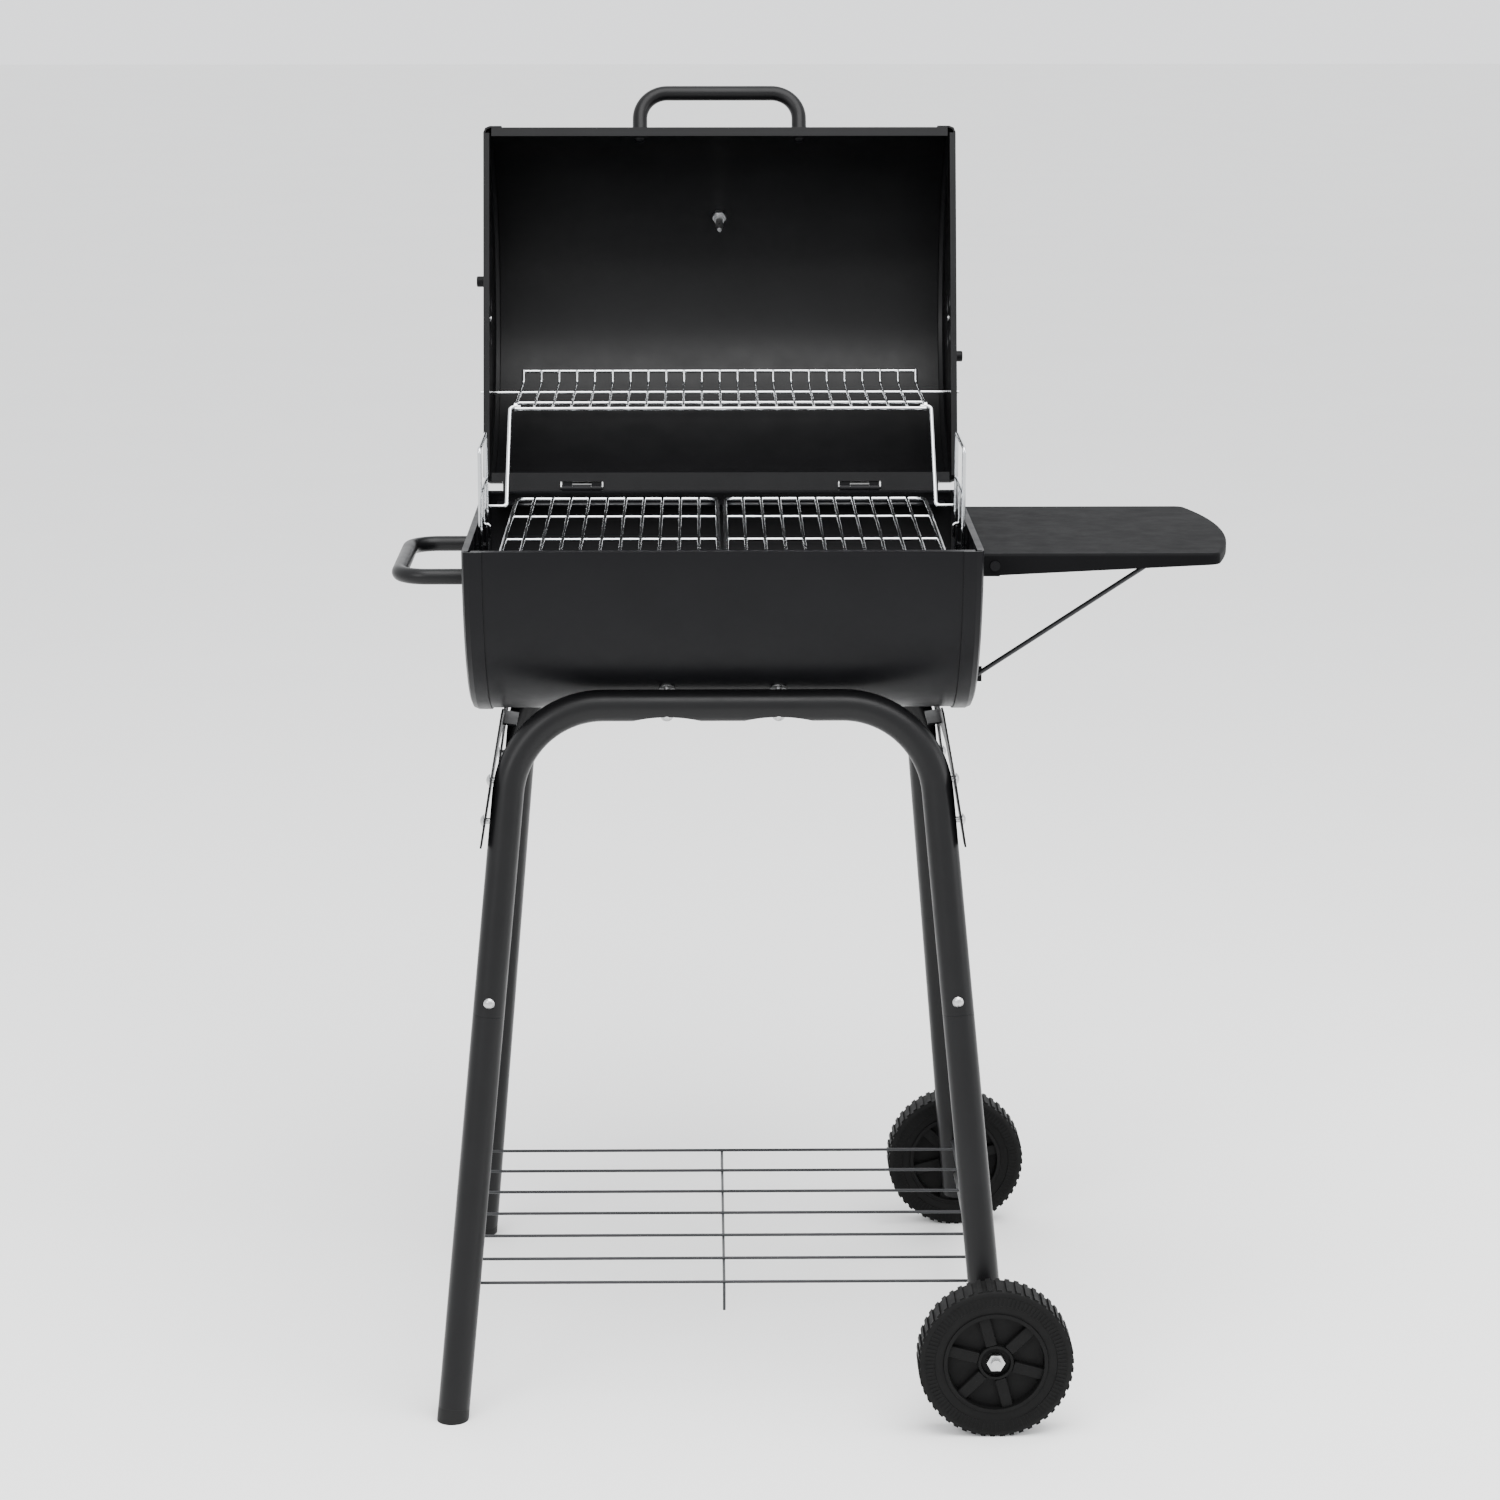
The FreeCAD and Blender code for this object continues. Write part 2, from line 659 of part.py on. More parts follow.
wheel_width = size("wheel_width")
for hand, word in ((-1, "front"), (1, "rear")):
    turn = Rotation(Z_AXIS, 90 * hand)
    wheel = wheel_body(word + "_wheel_moulding")
    place(wheel, word + "_wheel", Placement(Vector(axle_x, hand * (wheel_face - wheel_width), wheel_z), turn))


# ---------------------------------------------------------------- handles on barrel
def handle_tube(half_width, reach, base_gap):
    """A U-shaped tube that stands on the XY plane, its feet on the X axis."""
    outer = size("handle_tube")
    points = [Vector(-half_width, 0, base_gap), Vector(-half_width, 0, reach),
              Vector(half_width, 0, reach), Vector(half_width, 0, base_gap)]
    outside = bent_wire(points, outer, size("handle_bend"))
    points[0] = points[0] + Vector(0, 0, 6)
    points[3] = points[3] + Vector(0, 0, 6)
    inside = bent_wire(points, outer - size("handle_wall"), size("handle_bend"))
    return outside.cut(inside)


side_handle = handle_tube(size("side_handle_depth"), size("side_handle_reach"), 0.0)
side_turn = Placement(Vector(-half_length - 0.02, 0, size("side_handle_height")),
                      Rotation(Y_AXIS, Z_AXIS, Vector(-1, 0, 0), "ZXY"))
solid_feature("side_handle", side_handle, side_turn)
handle_bolts = []
for hand in (-1, 1):
    bolt = dome_bolt(3.0, 18, 6.0, 3.4)
    handle_bolts.append(moved(bolt, Placement(
        Vector(-half_length + size("sheet_wall"), hand * size("side_handle_depth"), size("side_handle_height")),
        Rotation(Y_AXIS, 90))))
solid_feature("side_handle_bolts", group(handle_bolts))

lid_radius = size("barrel_radius")


def lid_spot(angle, radius, x=0.0):
    """A placement on the closed lid, Z outward, at an angle up from its front rim."""
    turn = math.radians(angle)
    outward = Vector(0, -math.cos(turn), math.sin(turn))
    point = Vector(x, 0, LID_LEVEL) + outward * radius
    return Placement(point, Rotation(X_AXIS, Vector(), outward, "ZXY"))


handle_angle = size("lid_handle_angle")
lid_handle = handle_tube(size("lid_handle_half"), size("lid_handle_reach"), 0.0)
solid_feature("lid_handle", lid_handle, lid_spot(handle_angle, lid_radius + 0.2), on_lid=True)
lid_bolts = []
for side in (-1, 1):
    bolt = dome_bolt(3.0, 18, 6.0, 3.4)
    flipped = Placement(Vector(side * size("lid_handle_half"), 0, 0), Rotation(X_AXIS, 180))
    lid_bolts.append(moved(bolt, flipped))
solid_feature("lid_handle_bolts", group(lid_bolts),
              lid_spot(handle_angle, lid_radius - size("sheet_wall") - 0.1), on_lid=True)


# ----------------------------------------------------------------------- lid hinges
pin_gap = 0.05
HINGE_X = 150.0
KNUCKLE = 4.2
BASE_KNUCKLE = 20.0
LEAF_KNUCKLE = 11.0


def hinge_leaf(spans, upward):
    """One leaf of a strap hinge about the X axis through the origin."""
    pieces = []
    for start, end in spans:
        pieces.append(Part.makeCylinder(KNUCKLE, end - start, Vector(start, 0, 0), X_AXIS))
        pieces.append(Part.makeBox(end - start, 8.0, 3.4, Vector(start, -7.9, 3.0)))
    low, high = spans[0][0], spans[-1][1]
    pieces.append(Part.makeBox(high - low, 1.5, 30.0, Vector(low, -7.9, 6.2)))
    leaf = joined(pieces).cut(Part.makeCylinder(2.0 + pin_gap, high - low + 2, Vector(low - 1, 0, 0), X_AXIS))
    return leaf if upward else leaf.mirror(Vector(), Z_AXIS)


half_base = BASE_KNUCKLE / 2
leaf_spans = [(-half_base - LEAF_KNUCKLE - 0.4, -half_base - 0.4), (half_base + 0.4, half_base + LEAF_KNUCKLE + 0.4)]
for side, word in ((-1, "left"), (1, "right")):
    spot = Placement(HINGE_POINT + Vector(side * HINGE_X, 0, 0), Rotation())
    solid_feature("hinge_base_" + word, hinge_leaf([(-half_base, half_base)], upward=False), spot)
    solid_feature("hinge_leaf_" + word, hinge_leaf(leaf_spans, upward=True), spot, on_lid=True)

TABLE_X = half_length + 2.0
TABLE_PIN = Vector(270.0, 0, size("table_top") - 12.0)
table_half = size("table_half_depth")
table_sheet = size("table_sheet")
pins = []
for side in (-1, 1):
    start = HINGE_POINT + Vector(side * HINGE_X - 23, 0, 0)
    pins.append(rod(start, start + Vector(46, 0, 0), 2.0))
    start = TABLE_PIN + Vector(0, side * (table_half - 7.0), 0)
    pin = rod(start, start + Vector(0, side * 8.4, 0), 3.0)
    head = rod(start + Vector(0, side * 7.3, 0), start + Vector(0, side * 9.0, 0), 5.0)
    pins.append(pin.fuse(head).removeSplitter())
solid_feature("hinge_pins", group(pins))

# ----------------------------------------------------------------------- side table


def table_outline(inset, length, bow, half):
    """The table's outline: three straight sides and a bowed outer end."""
    near = Vector(inset if inset else 0, -half + inset, 0)
    far = Vector(length, -half + inset, 0)
    tip = Vector(length + bow, 0, 0)
    edges = [Part.LineSegment(near, far).toShape(),
             Part.Arc(far, tip, Vector(far.x, -far.y, 0)).toShape(),
             Part.LineSegment(Vector(far.x, -far.y, 0), Vector(near.x, -near.y, 0)).toShape(),
             Part.LineSegment(Vector(near.x, -near.y, 0), near).toShape()]
    return Part.Face(Part.Wire(edges))


flange = size("table_flange")
length = size("table_length")
bow = size("table_bow")
outer_block = table_outline(0, length, bow, table_half).extrude(Vector(0, 0, -flange))
upright = [edge for edge in outer_block.Edges
           if abs(edge.BoundBox.ZLength - flange) < 0.01 and edge.Vertexes[0].X > length - 1]
outer_block = outer_block.makeFillet(12.0, upright)
top_edges = [edge for edge in outer_block.Edges if abs(edge.BoundBox.ZMin) < 0.01 and edge.BoundBox.XMax > 1]
outer_block = outer_block.makeFillet(3.0, top_edges)
inner_face = table_outline(table_sheet, length - table_sheet, bow, table_half)
inner_block = inner_face.extrude(Vector(0, 0, -flange - 1))
inner_block.translate(Vector(0, 0, -table_sheet))
upright = [edge for edge in inner_block.Edges
           if abs(edge.BoundBox.ZLength - flange - 1) < 0.01 and edge.Vertexes[0].X > length - 3]
inner_block = inner_block.makeFillet(10.8, upright)
open_end = Part.makeBox(4, 2 * (table_half - table_sheet), flange,
                        Vector(-2, table_sheet - table_half, -flange - table_sheet))
taper = prism([(6, -flange - 0.01), (length + bow + 1, -size("table_flange_tip")),
               (length + bow + 1, -flange - 2), (6, -flange - 2)], 2 * table_half + 2)
taper.Placement = Placement(Vector(0, table_half + 1, 0), Rotation(X_AXIS, 90))
heel = prism([(-1, -flange + 5), (5, -flange - 1), (-1, -flange - 1)], 2 * table_half + 2)
heel.Placement = Placement(Vector(0, table_half + 1, 0), Rotation(X_AXIS, 90))
table = outer_block.cut(inner_block).cut(open_end).cut(taper).cut(heel)
pin_hole = Part.makeCylinder(3.0 + pin_gap, 2 * table_half + 4,
                             Vector(TABLE_PIN.x - TABLE_X, -table_half - 2, -12.0), Y_AXIS)
table = table.cut(pin_hole)
solid_feature("side_table", table, at(TABLE_X, 0, size("table_top")))

ears = []
for side in (-1, 1):
    inner = side * (table_half - 3.2)
    low = min(inner, inner - side * 2)
    ear = Part.makeBox(19, 2, 20, Vector(half_length + 0.05, low, size("table_top") - 23))
    wall_low = min(inner, inner - side * 20)
    wall = Part.makeBox(2, 20, 20, Vector(half_length + 0.05, wall_low, size("table_top") - 23))
    pin_space = Part.makeCylinder(3.0 + pin_gap, 6, Vector(TABLE_PIN.x, low - 2, TABLE_PIN.z), Y_AXIS)
    ears.append(ear.fuse(wall).removeSplitter().cut(pin_space))
solid_feature("table_hinge_ears", group(ears))

BRACE_FOOT = Vector(263.0, 0, 708.0)
BRACE_TIP = Vector(488.0, 0, size("table_top") - table_sheet - size("brace_wire") - 1.3)
brace = bent_wire([BRACE_FOOT + Vector(0, 13, 0), BRACE_FOOT, BRACE_TIP, BRACE_TIP + Vector(0, 16, 0)],
                  size("brace_wire"), 5.0)
solid_feature("table_brace", brace)
brace_ear = Part.makeBox(14, 2, 16, Vector(half_length + 0.05, 7, BRACE_FOOT.z - 8))
brace_wall = Part.makeBox(2, 24, 16, Vector(half_length + 0.05, 7, BRACE_FOOT.z - 8))
brace_bracket = brace_ear.fuse(brace_wall).removeSplitter()
brace_bracket = brace_bracket.cut(rod(BRACE_FOOT, BRACE_FOOT + Vector(0, 20, 0), size("brace_wire") + pin_gap))
solid_feature("brace_bracket", brace_bracket)
catch_top = size("table_top") - table_sheet - 0.02
catch = Part.makeBox(2, 16, 10, Vector(BRACE_TIP.x - 6, 6, catch_top - 10))
catch_foot = Part.makeBox(14, 24, 1.2, Vector(BRACE_TIP.x - 18, -2, catch_top - 1.2))
solid_feature("brace_catch", catch.fuse(catch_foot).removeSplitter())

# ------------------------------------------------------------- brackets in the firebox
wall_face = half_length - size("sheet_wall")
lift_plane = size("pan_lift_plane")
HOOK_Y = 10.0
for side, word in ((-1, "left"), (1, "right")):
    mirror = Placement(Vector(), Rotation(Z_AXIS, 0 if side > 0 else 180))

    def from_wall(low, high, y_low, y_high, z_low, z_high, side=side):
        """A block given by its distances from the middle, on one side."""
        x_low = low if side > 0 else -high
        return Part.makeBox(high - low, y_high - y_low, z_high - z_low, Vector(x_low, y_low, z_low))

    hanger = joined([
        from_wall(wall_face - 1.55, wall_face - 0.05, HOOK_Y - 8, HOOK_Y + 8, 822, 862),
        from_wall(lift_plane - 3.6, wall_face - 0.05, HOOK_Y - 8, HOOK_Y + 8, 844, 845.5),
        from_wall(lift_plane - 3.6, lift_plane - 2.4, HOOK_Y - 8, HOOK_Y + 8, 844, 863.8),
    ])
    solid_feature("pan_hanger_" + word, hanger)
    foot_y = size("rack_foot_back")
    tab = joined([
        from_wall(wall_face - 1.55, wall_face - 0.05, foot_y - 8, foot_y + 8, 828, 866),
        from_wall(lift_plane - 1.0, wall_face - 0.05, foot_y - 8, foot_y + 8, 850, 851.5),
        from_wall(lift_plane - 1.0, lift_plane + 0.5, foot_y - 8, foot_y + 8, 850, 881),
    ])
    pivot_hole = rod(RACK_FOOT + Vector(side * 230, 0, 0), RACK_FOOT + Vector(side * 250, 0, 0),
                     size("rack_wire") + pin_gap)
    solid_feature("rack_bracket_" + word, tab.cut(pivot_hole))

ledge_reach = 189.4
for hand, word in ((-1, "front"), (1, "rear")):
    y_low = 158.0 if hand > 0 else -ledge_reach
    ledge = Part.makeBox(480, ledge_reach - 158.0, 1.5,
                         Vector(-240, y_low, size("grate_level") - 2.7 - 1.6))
    solid_feature("grate_ledge_" + word, ledge)

# --------------------------------------------------------------------- warming rack
rack_x = size("rack_half_width")
rack_wire = size("rack_wire")
level = size("rack_level")
FRONT_Y = RACK_CORNER.y - 5.4
REAR_Y = 368.0
FENCE_Z = level + 15.0
CROSS_WIRE_DROP = 1.3
CROSS_WIRE_END = rack_x + 0.6
rack = []
for cross_y, cross_z in ((FRONT_Y, level - CROSS_WIRE_DROP), (224.0, level - CROSS_WIRE_DROP), (REAR_Y, FENCE_Z)):
    rack.append(rod(Vector(-CROSS_WIRE_END, cross_y, cross_z), Vector(CROSS_WIRE_END, cross_y, cross_z), rack_wire))
pivot_end = half_length + 7
rack.append(rod(Vector(-pivot_end, RACK_PIVOT.y, level), Vector(pivot_end, RACK_PIVOT.y, level), rack_wire))
ROD_COUNT = 23
for index in range(ROD_COUNT):
    x = rack_x * (2 * index / (ROD_COUNT - 1) - 1)
    lift = level + rack_wire * 0.6
    if index in (0, ROD_COUNT - 1):
        points = [Vector(x, RACK_CORNER.y + 4.4, level + 0.5), Vector(x, REAR_Y - 5, level + 0.5),
                  Vector(x, REAR_Y - 1.2, FENCE_Z + 1.6)]
        rack.append(bent_wire(points, rack_wire * 0.9, 6))
        eye_start = Vector(x - 1.5, RACK_CORNER.y, level)
        eye = Part.makeCylinder(5.3, 3.0, eye_start, X_AXIS)
        rack.append(eye.cut(Part.makeCylinder(2.5, 3.0, eye_start, X_AXIS)))
    else:
        points = [Vector(x, FRONT_Y, lift), Vector(x, REAR_Y - 4, lift), Vector(x, REAR_Y - 1, FENCE_Z + 1.4)]
        rack.append(bent_wire(points, size("rack_rod"), 6))
solid_feature("warming_rack", joined(rack))
for side, word in ((-1, "left"), (1, "right")):
    leg = bent_wire([Vector(side * 214, RACK_CORNER.y, RACK_CORNER.z),
                     Vector(side * 225, RACK_CORNER.y, RACK_CORNER.z),
                     Vector(side * 225, RACK_FOOT.y, RACK_FOOT.z),
                     Vector(side * 248, RACK_FOOT.y, RACK_FOOT.z)], rack_wire, 4.5)
    solid_feature("rack_leg_" + word, leg)


# ---------------------------------------------------------------- grates and pan
def wire_loop(x_low, x_high, y_half, height, radius, bend):
    """The pieces of a rectangular wire frame with rounded corners."""
    pieces = []
    for hand in (-1, 1):
        pieces.append(rod(Vector(x_low + bend, hand * y_half, height), Vector(x_high - bend, hand * y_half, height),
                          radius))
    for x in (x_low, x_high):
        pieces.append(rod(Vector(x, bend - y_half, height), Vector(x, y_half - bend, height), radius))
    for x, hand, turn in ((x_high, 1, 0), (x_low, 1, 90), (x_low, -1, 180), (x_high, -1, 270)):
        corner = Part.makeTorus(bend, radius, Vector(), Z_AXIS, 0, 360, 90)
        centre_x = x - bend if x == x_high else x + bend
        pieces.append(moved(corner, at(centre_x, hand * (y_half - bend), height, Z_AXIS, turn)))
    return pieces


grate_z = size("grate_level")
grate_half = size("grate_half_depth")
grate_end = size("grate_half_length")
BARS = 10
for side, word in ((-1, "left"), (1, "right")):
    x_low, x_high = (-grate_end, -1.5 - 2.5) if side < 0 else (1.5 + 2.5, grate_end)
    pieces = wire_loop(x_low, x_high, grate_half, grate_z, 2.5, 12)
    for index in range(1, BARS + 1):
        x = x_low + (x_high - x_low) * index / (BARS + 1)
        pieces.append(rod(Vector(x, -grate_half, grate_z + 1.2), Vector(x, grate_half, grate_z + 1.2), 1.6))
    for y in (-70, 70):
        pieces.append(rod(Vector(x_low, y, grate_z - 1.6), Vector(x_high, y, grate_z - 1.6), 1.8))
    solid_feature("cooking_grate_" + word, joined(pieces))

pan_z = size("pan_level")
pan_x = size("pan_half_length")
pan_y = size("pan_half_depth")
pan_high = size("pan_depth")
PAN_SHEET = 1.2
pan = Part.makeBox(2 * pan_x, 2 * pan_y, pan_high, Vector(-pan_x, -pan_y, pan_z))
pan = pan.makeFillet(8.0, [edge for edge in pan.Edges if edge.BoundBox.ZLength > pan_high - 1])
hollow = Part.makeBox(2 * (pan_x - PAN_SHEET), 2 * (pan_y - PAN_SHEET), pan_high,
                      Vector(PAN_SHEET - pan_x, PAN_SHEET - pan_y, pan_z + PAN_SHEET))
hollow = hollow.makeFillet(6.8, [edge for edge in hollow.Edges if edge.BoundBox.ZLength > pan_high - 1])
pan = pan.cut(hollow)
for column in range(-5, 6):
    for row_y in (-75, 0, 75):
        pan = pan.cut(Part.makeBox(12, 50, 4, Vector(column * 38 - 6, row_y - 25, pan_z - 1)))
solid_feature("charcoal_pan", pan)
LIFT_FRONT, LIFT_REAR = -46.0, 65.0
LIFT_TOP, LIFT_RUNG = 952.0, 905.0
for side, word in ((-1, "left"), (1, "right")):
    x = side * lift_plane
    foot_z = pan_z + pan_high - 10
    loop = [Vector(side * (pan_x + 0.02), LIFT_FRONT, foot_z), Vector(x, LIFT_FRONT, foot_z),
            Vector(x, LIFT_FRONT, LIFT_TOP), Vector(x, LIFT_REAR, LIFT_TOP),
            Vector(x, LIFT_REAR, foot_z), Vector(side * (pan_x + 0.02), LIFT_REAR, foot_z)]
    hook_x = side * (lift_plane - 6.0)
    pieces = [bent_wire(loop, 2.0, 4.5),
              rod(Vector(x, LIFT_FRONT, LIFT_RUNG), Vector(x, LIFT_REAR, LIFT_RUNG), 1.8),
              bent_wire([Vector(x, HOOK_Y, LIFT_RUNG), Vector(x, HOOK_Y, 866), Vector(hook_x, HOOK_Y, 866),
                         Vector(hook_x, HOOK_Y, 852)], 1.5, 2.6)]
    solid_feature("pan_handle_" + word, joined(pieces))

# -------------------------------------------------------------- thermometer and vents
THERMO = size("thermometer_angle")
case_spot = lid_spot(THERMO, lid_radius + 0.3)
outward = case_spot.Rotation.multVec(Z_AXIS)
primitive(lid_shell, "SubtractiveCylinder", "thermometer_hole",
          Placement(Vector(half_length, 0, 0), Rotation(Z_AXIS, outward)), Radius="5", Height="barrel_radius + 5")
case = Part.makeCylinder(31, 15)
case = case.makeFillet(3.0, [edge for edge in case.Edges if edge.Closed])
case = case.cut(Part.makeCylinder(27, 14, Vector(0, 0, 3))).removeSplitter()
solid_feature("thermometer_case", case, case_spot, on_lid=True)
dial = Part.makeCylinder(26.8, 1.0, Vector(0, 0, 3.05))
solid_feature("thermometer_dial", dial, case_spot, on_lid=True)
needle = prism([(-6, -1.6), (22, -0.3), (22, 0.3), (-6, 1.6)], 0.6).fuse(Part.makeCylinder(2.6, 1.4)).removeSplitter()
needle_turn = at(0, 0, 4.6, Z_AXIS, 215)
solid_feature("thermometer_needle", needle, case_spot.multiply(needle_turn), on_lid=True)
solid_feature("thermometer_glass", Part.makeCylinder(26.8, 1.6, Vector(0, 0, 11.0)), case_spot, on_lid=True)
stem = Part.makeCylinder(4.0, 26.0, Vector(0, 0, -26.0))
nut = moved(hexagon(14, 6), at(0, 0, -8.6))
tip = Part.makeCone(2.6, 4.0, 8.0, Vector(0, 0, -34.0))
solid_feature("thermometer_stem", joined([stem, nut, tip]), case_spot, on_lid=True)

pins = []
for side, word in ((-1, "left"), (1, "right")):
    axis_point = Vector(side * (half_length + 0.4), 0, LID_LEVEL + size("vent_height"))
    face = Placement(axis_point, Rotation(Y_AXIS, side * 90))
    disc = Part.makeCylinder(size("vent_disc"), 1.2)
    for step in range(4):
        turn = math.radians(45 + 90 * step)
        hole = Part.makeCylinder(11, 4, Vector(VENT_PETAL_RING * math.cos(turn),
                                               VENT_PETAL_RING * math.sin(turn), -1))
        disc = disc.cut(hole)
    disc = disc.cut(Part.makeCylinder(2.5 + pin_gap, 4, Vector(0, 0, -1)))
    knob = Part.makeCylinder(6, 12, Vector(0, side * 42, 1.1))
    knob = knob.makeFillet(1.5, [edge for edge in knob.Edges if edge.Closed and edge.BoundBox.ZMin > 12])
    solid_feature("vent_damper_" + word, disc.fuse(knob).removeSplitter(), face, on_lid=True)
    pin = Part.makeCylinder(2.5, 6.0, Vector(0, 0, -3.4)).fuse(
        moved(dome_bolt(2.5, 0.5, 5.5, 2.4), at(0, 0, 1.6))).fuse(Part.makeCylinder(4.5, 1.4, Vector(0, 0, -3.4)))
    pins.append(moved(pin.removeSplitter(), face))
solid_feature("vent_pins", group(pins), on_lid=True)

# ------------------------------------------------------------ check and write the parts
doc.recompute()
for item in doc.Objects:
    if "Invalid" in item.State or "Error" in item.State:
        raise RuntimeError("%s failed: %s" % (item.Label, item.State))
os.makedirs("parts", exist_ok=True)
for part in subparts:
    shape = part.Shape
    if shape.isNull() or not shape.isValid():
        raise RuntimeError("%s has no valid shape" % part.Label)
    shape.exportStep("parts/%s.step" % part.Label)
    print("%-24s %2d solid(s) %12.0f mm3" % (part.Label, len(shape.Solids), shape.Volume))
print(len(subparts), "sub-parts")
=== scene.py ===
# %% [markdown]
# # A barrel charcoal grill, dressed around its frame
#
# The metal parts of this grill come from the frame: the barrel, the bent tubes, the wire racks
# and the bolts already have their true shapes and places. What is left is the look. The steel
# sheet wants its baked powder coat, the wires want their plating, and the wheels and the dial
# want more shape than plain solids give. Everything is in metres.

# %% Load the frame and keep its box
import bpy
import bmesh
import json
import math
from mathutils import Matrix, Vector


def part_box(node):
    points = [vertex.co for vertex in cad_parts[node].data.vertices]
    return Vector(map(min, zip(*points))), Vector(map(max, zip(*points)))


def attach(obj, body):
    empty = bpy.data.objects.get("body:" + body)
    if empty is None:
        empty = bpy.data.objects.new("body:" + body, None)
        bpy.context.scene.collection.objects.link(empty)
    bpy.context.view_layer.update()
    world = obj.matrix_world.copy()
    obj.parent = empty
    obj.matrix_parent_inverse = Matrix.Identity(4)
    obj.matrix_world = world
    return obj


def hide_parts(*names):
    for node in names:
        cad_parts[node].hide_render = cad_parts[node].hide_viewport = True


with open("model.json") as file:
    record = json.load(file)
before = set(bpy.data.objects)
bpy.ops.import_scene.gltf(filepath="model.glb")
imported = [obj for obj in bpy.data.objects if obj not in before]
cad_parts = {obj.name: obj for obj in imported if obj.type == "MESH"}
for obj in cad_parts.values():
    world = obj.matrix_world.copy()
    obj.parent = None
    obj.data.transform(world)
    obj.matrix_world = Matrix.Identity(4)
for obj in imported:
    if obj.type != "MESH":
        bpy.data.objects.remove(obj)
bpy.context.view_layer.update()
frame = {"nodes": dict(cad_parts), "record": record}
MM = 0.001
print("frame pieces:", len(frame["nodes"]))

# %% [markdown]
# ## Colours and nodes
#
# A colour is easiest to pick as the hex value that paint charts and screens use, but a renderer
# adds light in linear values. One function makes that change for every colour. Another adds a
# node with its settings and its links, so a material reads as a short list of steps.

# %% Colour and node helpers
# nearly all of a noise texture's values lie between these two
NOISE_LOW, NOISE_HIGH = 0.3, 0.7


def linear(hex_colour):
    """An sRGB hex colour as linear RGBA."""
    channels = [int(hex_colour[start:start + 2], 16) / 255 for start in (1, 3, 5)]
    return [c / 12.92 if c <= 0.04045 else ((c + 0.055) / 1.055) ** 2.4 for c in channels] + [1.0]


def add_node(tree, kind, settings=None, links=None):
    """Add a node; links gives each input socket a value or an (other node, output) pair."""
    made = tree.nodes.new(kind)
    for name, value in (settings or {}).items():
        setattr(made, name, value)
    for socket, value in (links or {}).items():
        if isinstance(value, tuple) and isinstance(value[0], bpy.types.Node):
            tree.links.new(value[0].outputs[value[1]], made.inputs[socket])
        else:
            made.inputs[socket].default_value = value
    return made


def start_material(name, shader_values):
    """A material with an empty tree, its shader, its output and object coordinates."""
    material = bpy.data.materials.new(name)
    material.use_nodes = True
    tree = material.node_tree
    tree.nodes.clear()
    shader = add_node(tree, "ShaderNodeBsdfPrincipled", {}, shader_values)
    add_node(tree, "ShaderNodeOutputMaterial", {}, {"Surface": (shader, "BSDF")})
    place = add_node(tree, "ShaderNodeTexCoord")
    return material, tree, shader, place


# %% [markdown]
# ## Powder coat, baked on steel
#
# The barrel, lid and tubes are mild steel sheet and tube, sprayed with dry black powder and
# baked. The powder melts into a film that is nearly black and satin, with a faint orange peel
# a couple of millimetres across. A bump from fine noise gives the peel, a second noise moves
# the roughness a little, and a trace of clear coat gives the film its skin. The specular level
# starts at a paint's 0.5 and is lowered, because this coat mirrors little, and least of all on
# the table, whose flat top is seen almost edge-on.

# %% Powder coat
def powder_coat(name, dark, light, shine, peel_mm, depth, mirror):
    """Baked powder coat: a satin black film with orange peel and a slight drift of tone."""
    material, tree, shader, place = start_material(
        name, {"Metallic": 0.0, "IOR": 1.5, "Specular IOR Level": mirror,
               "Coat Weight": 0.01, "Coat Roughness": 0.3})
    drift = add_node(tree, "ShaderNodeTexNoise", {},
                     {"Vector": (place, "Object"), "Scale": 1 / (70.0 * MM),
                      "Detail": 4.0, "Roughness": 0.5})
    tone = add_node(tree, "ShaderNodeMix", {"data_type": "RGBA"},
                    {"Factor": (drift, 0), 6: linear(dark), 7: linear(light)})
    tree.links.new(tone.outputs[2], shader.inputs["Base Color"])
    smears = add_node(tree, "ShaderNodeTexNoise", {},
                      {"Vector": (place, "Object"), "Scale": 1 / (25.0 * MM),
                       "Detail": 5.0, "Roughness": 0.6})
    haze = add_node(tree, "ShaderNodeMapRange", {},
                    {"Value": (smears, 0), "From Min": NOISE_LOW, "From Max": NOISE_HIGH,
                     "To Min": shine - 0.04, "To Max": shine + 0.05})
    tree.links.new(haze.outputs[0], shader.inputs["Roughness"])
    peel = add_node(tree, "ShaderNodeTexNoise", {},
                    {"Vector": (place, "Object"), "Scale": 1 / (peel_mm * MM),
                     "Detail": 2.0, "Roughness": 0.5})
    bump = add_node(tree, "ShaderNodeBump", {},
                    {"Height": (peel, 0), "Strength": 0.25, "Distance": depth * MM})
    tree.links.new(bump.outputs[0], shader.inputs["Normal"])
    return material


sheet_coat = powder_coat("satin_black_powder_coat_on_sheet", "#08080a", "#0e0e10", 0.38, 2.2, 0.10, 0.10)
tube_coat = powder_coat("satin_black_powder_coat_on_tube", "#09090a", "#0f0f10", 0.35, 1.8, 0.08, 0.19)
wire_coat = powder_coat("black_dip_coat_on_wire", "#1c1d1e", "#26272a", 0.36, 1.2, 0.06, 0.30)
table_coat = powder_coat(
    "matte_black_powder_coat_on_table", "#09090a", "#101011", 0.58, 1.6, 0.10, 0.025)
# the lid's copy of the black coat is a shade lighter and glossier than the barrel's: painted light for
# the light the lid catches from the front
lid_coat_painted_lighter = powder_coat("satin_black_powder_coat_on_lid_lightened_as_painted_light", "#0a0a0b", "#111112", 0.36, 2.2, 0.10, 0.15)
print("powder coats:", sheet_coat.name, tube_coat.name, wire_coat.name)

